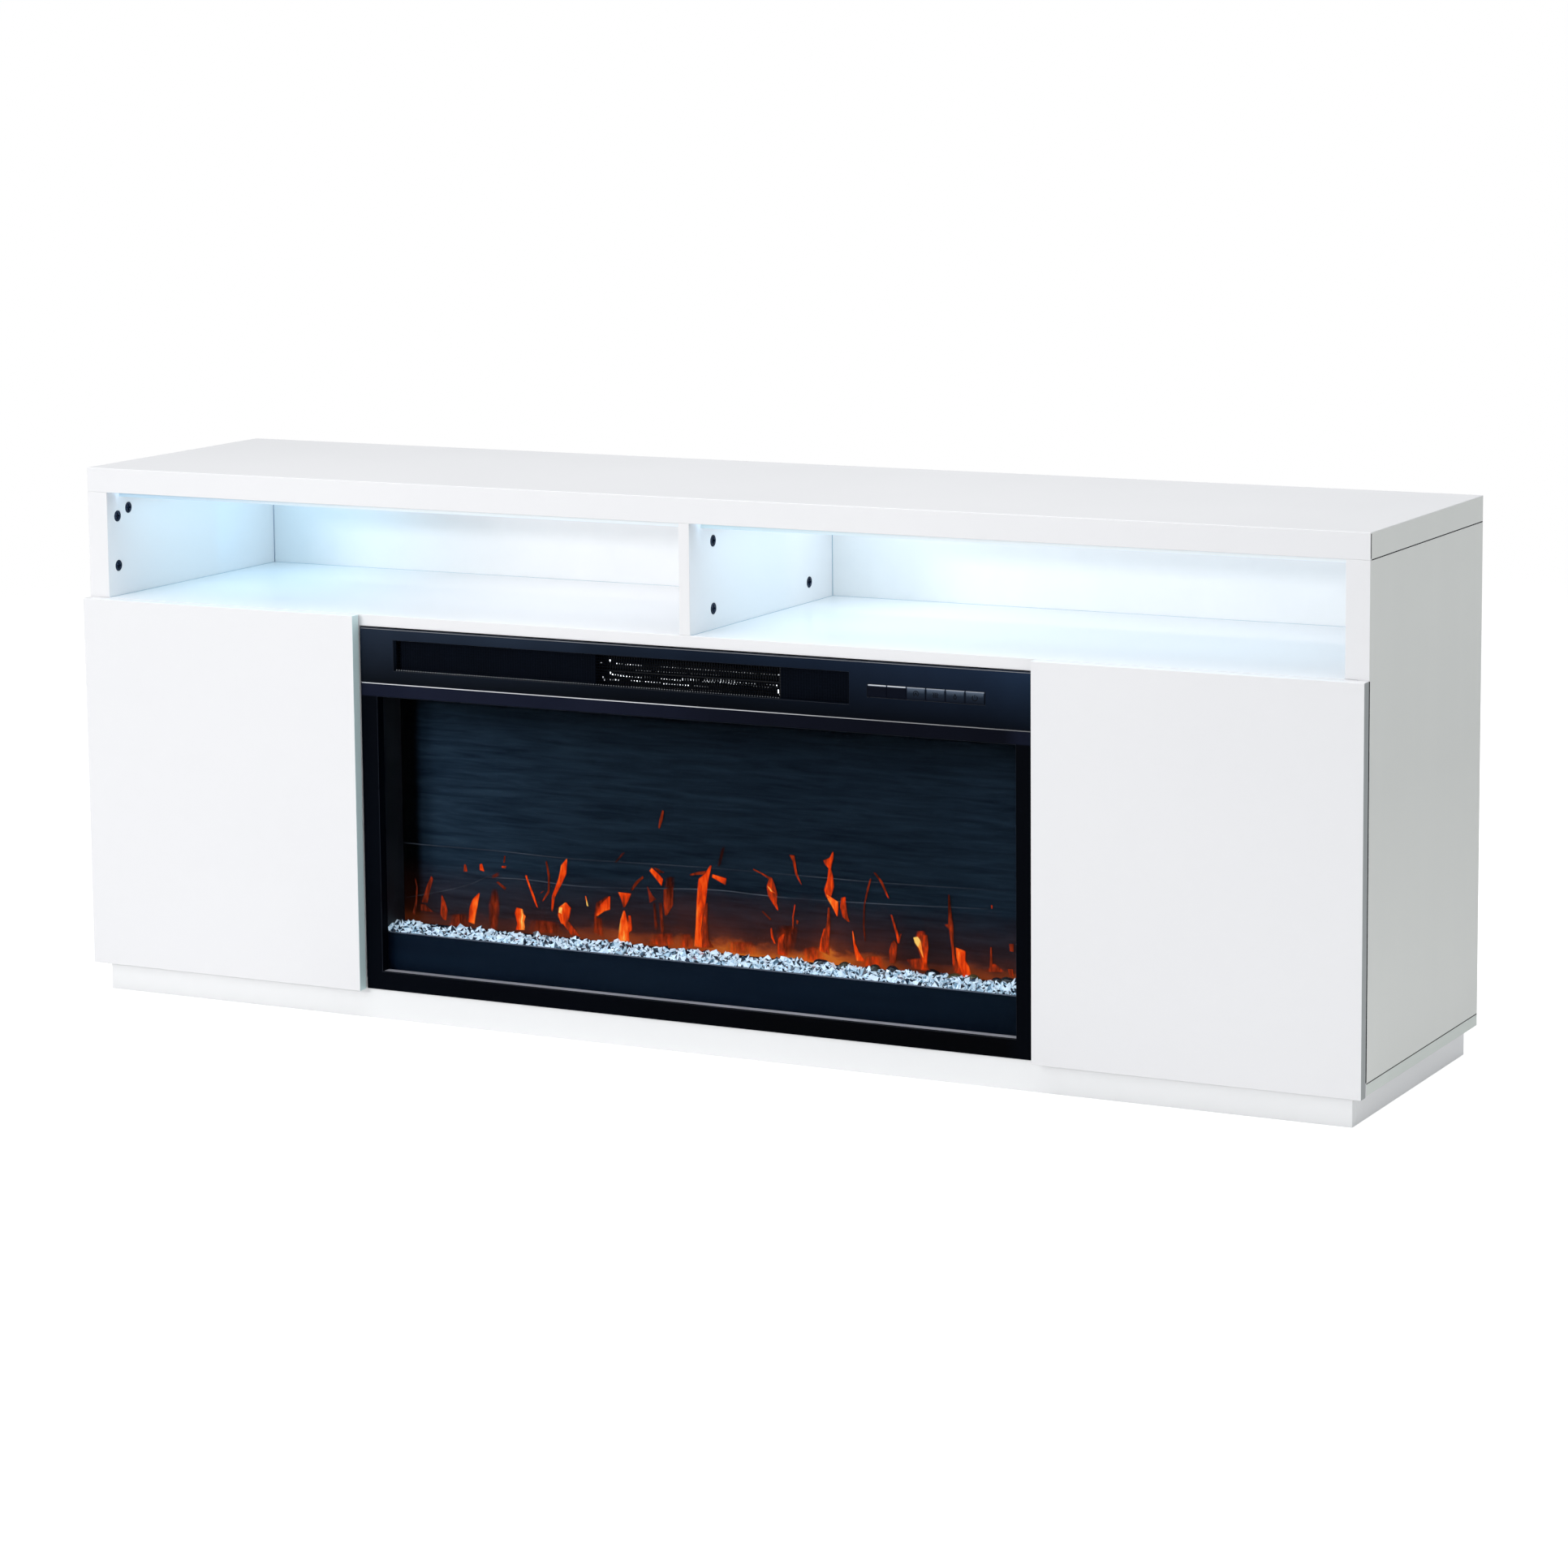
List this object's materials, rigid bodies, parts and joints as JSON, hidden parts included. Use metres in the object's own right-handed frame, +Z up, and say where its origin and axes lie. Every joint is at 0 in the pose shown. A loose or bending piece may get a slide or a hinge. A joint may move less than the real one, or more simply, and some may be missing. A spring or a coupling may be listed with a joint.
{
  "type": "fireplace tv stand",
  "caption": "Low wide white cabinet with a thick top for a television, open lit bays, a door at each end and an electric fire with a glass front between them",
  "frame": {"origin": "on the floor, under the middle of the stand's box", "axes": "+X runs along the front to the viewer's right, +Y runs from the front to the back, +Z is up"},
  "size_m": [1.78, 0.4166, 0.698],
  "materials": {
    "white_lacquer": "smooth white lacquer with a satin to gloss shine on fibreboard",
    "back_board": "white painted thin fibreboard",
    "cam_zinc": "dull die-cast zinc",
    "strip_light": "pale blue diffuser that glows when lit",
    "hinge_steel": "nickel-plated steel",
    "black_plate": "blue-black gloss lacquer",
    "casing_steel": "matt black powder coat",
    "smoked_glass": "smoked clear glass",
    "black_plastic": "fine-grained black plastic",
    "crystal": "clear and frosted crystal chips",
    "screen_film": "dark translucent flame screen",
    "rotor_foil": "bright reflector foil",
    "heater_metal": "bare aluminium fins",
    "board_green": "green circuit board"
  },
  "bodies": {
    "cabinet": {"top_panel": "white_lacquer", "left_side_panel": "white_lacquer", "right_side_panel": "white_lacquer", "deck_shelf": "white_lacquer", "centre_divider": "white_lacquer", "bottom_panel": "white_lacquer", "left_partition": "white_lacquer", "right_partition": "white_lacquer", "plinth_front": "white_lacquer", "plinth_back": "white_lacquer", "plinth_left": "white_lacquer", "plinth_right": "white_lacquer", "upper_back_panel": "back_board", "left_back_panel": "back_board", "right_back_panel": "back_board", "left_side_cam_front_upper": "cam_zinc", "left_side_cam_rear_upper": "cam_zinc", "left_side_cam_front_lower": "cam_zinc", "divider_cam_front_upper": "cam_zinc", "divider_cam_front_lower": "cam_zinc", "divider_cam_rear_lower": "cam_zinc", "left_led_strip": "strip_light", "right_led_strip": "strip_light", "ember_led_bar": "strip_light", "left_upper_hinge_arm": "hinge_steel", "left_lower_hinge_arm": "hinge_steel", "right_upper_hinge_arm": "hinge_steel", "right_lower_hinge_arm": "hinge_steel", "glass_frame": "black_plate", "control_fascia": "black_plate", "fireplace_casing": "casing_steel", "rotor_motor": "casing_steel", "heater_housing": "casing_steel", "blower_motor": "casing_steel", "front_glass": "smoked_glass", "ember_tray": "black_plastic", "outlet_grille": "black_plastic", "cord_gland": "black_plastic", "crystal_bed": "crystal", "flame_screen": "screen_film", "heater_element": "heater_metal", "control_board": "board_green"},
    "left_hinge_links": {"left_upper_hinge_link": "hinge_steel", "left_lower_hinge_link": "hinge_steel"},
    "right_hinge_links": {"right_upper_hinge_link": "hinge_steel", "right_lower_hinge_link": "hinge_steel"},
    "left_door": {"left_door": "white_lacquer", "left_upper_hinge_cup": "hinge_steel", "left_lower_hinge_cup": "hinge_steel"},
    "right_door": {"right_door": "white_lacquer", "right_upper_hinge_cup": "hinge_steel", "right_lower_hinge_cup": "hinge_steel"},
    "flame_rotor": {"flame_rotor": "rotor_foil"},
    "blower_wheel": {"blower_wheel": "heater_metal"},
    "button_1": {"button_1": "black_plastic"},
    "button_2": {"button_2": "black_plastic"},
    "button_3": {"button_3": "black_plastic"},
    "button_4": {"button_4": "black_plastic"},
    "button_5": {"button_5": "black_plastic"},
    "button_6": {"button_6": "black_plastic"}
  },
  "joints": [
    {"name": "left_link_hinge", "type": "hinge", "parent": "cabinet", "child": "left_hinge_links", "pos_m": [-0.86, -0.18975, 0.282], "axis": [0, 0, -1], "range_deg": [-30, 0]},
    {"name": "left_door_hinge", "type": "hinge", "parent": "left_hinge_links", "child": "left_door", "pos_m": [-0.881, -0.19925, 0.282], "axis": [0, 0, -1], "range_deg": [0, 125]},
    {"name": "right_link_hinge", "type": "hinge", "parent": "cabinet", "child": "right_hinge_links", "pos_m": [0.86, -0.18975, 0.282], "axis": [0, 0, 1], "range_deg": [-30, 0]},
    {"name": "right_door_hinge", "type": "hinge", "parent": "right_hinge_links", "child": "right_door", "pos_m": [0.881, -0.19925, 0.282], "axis": [0, 0, 1], "range_deg": [0, 125]},
    {"name": "flame_rotor_spin", "type": "hinge", "parent": "cabinet", "child": "flame_rotor", "pos_m": [0, -0.07975, 0.101], "axis": [1, 0, 0], "continuous": true},
    {"name": "blower_spin", "type": "hinge", "parent": "cabinet", "child": "blower_wheel", "pos_m": [0, -0.10375, 0.47185], "axis": [1, 0, 0], "continuous": true},
    {"name": "button_1_press", "type": "slide", "parent": "cabinet", "child": "button_1", "axis": [0, 1, 0], "range_m": [0, 0.0015], "stiffness_N_per_m": 300},
    {"name": "button_2_press", "type": "slide", "parent": "cabinet", "child": "button_2", "axis": [0, 1, 0], "range_m": [0, 0.0015], "stiffness_N_per_m": 300},
    {"name": "button_3_press", "type": "slide", "parent": "cabinet", "child": "button_3", "axis": [0, 1, 0], "range_m": [0, 0.0015], "stiffness_N_per_m": 300},
    {"name": "button_4_press", "type": "slide", "parent": "cabinet", "child": "button_4", "axis": [0, 1, 0], "range_m": [0, 0.0015], "stiffness_N_per_m": 300},
    {"name": "button_5_press", "type": "slide", "parent": "cabinet", "child": "button_5", "axis": [0, 1, 0], "range_m": [0, 0.0015], "stiffness_N_per_m": 300},
    {"name": "button_6_press", "type": "slide", "parent": "cabinet", "child": "button_6", "axis": [0, 1, 0], "range_m": [0, 0.0015], "stiffness_N_per_m": 300}
  ],
  "couplings": [
    {"joint": "left_link_hinge", "follows": "left_door_hinge", "ratio": -0.24},
    {"joint": "right_link_hinge", "follows": "right_door_hinge", "ratio": -0.24}
  ]
}
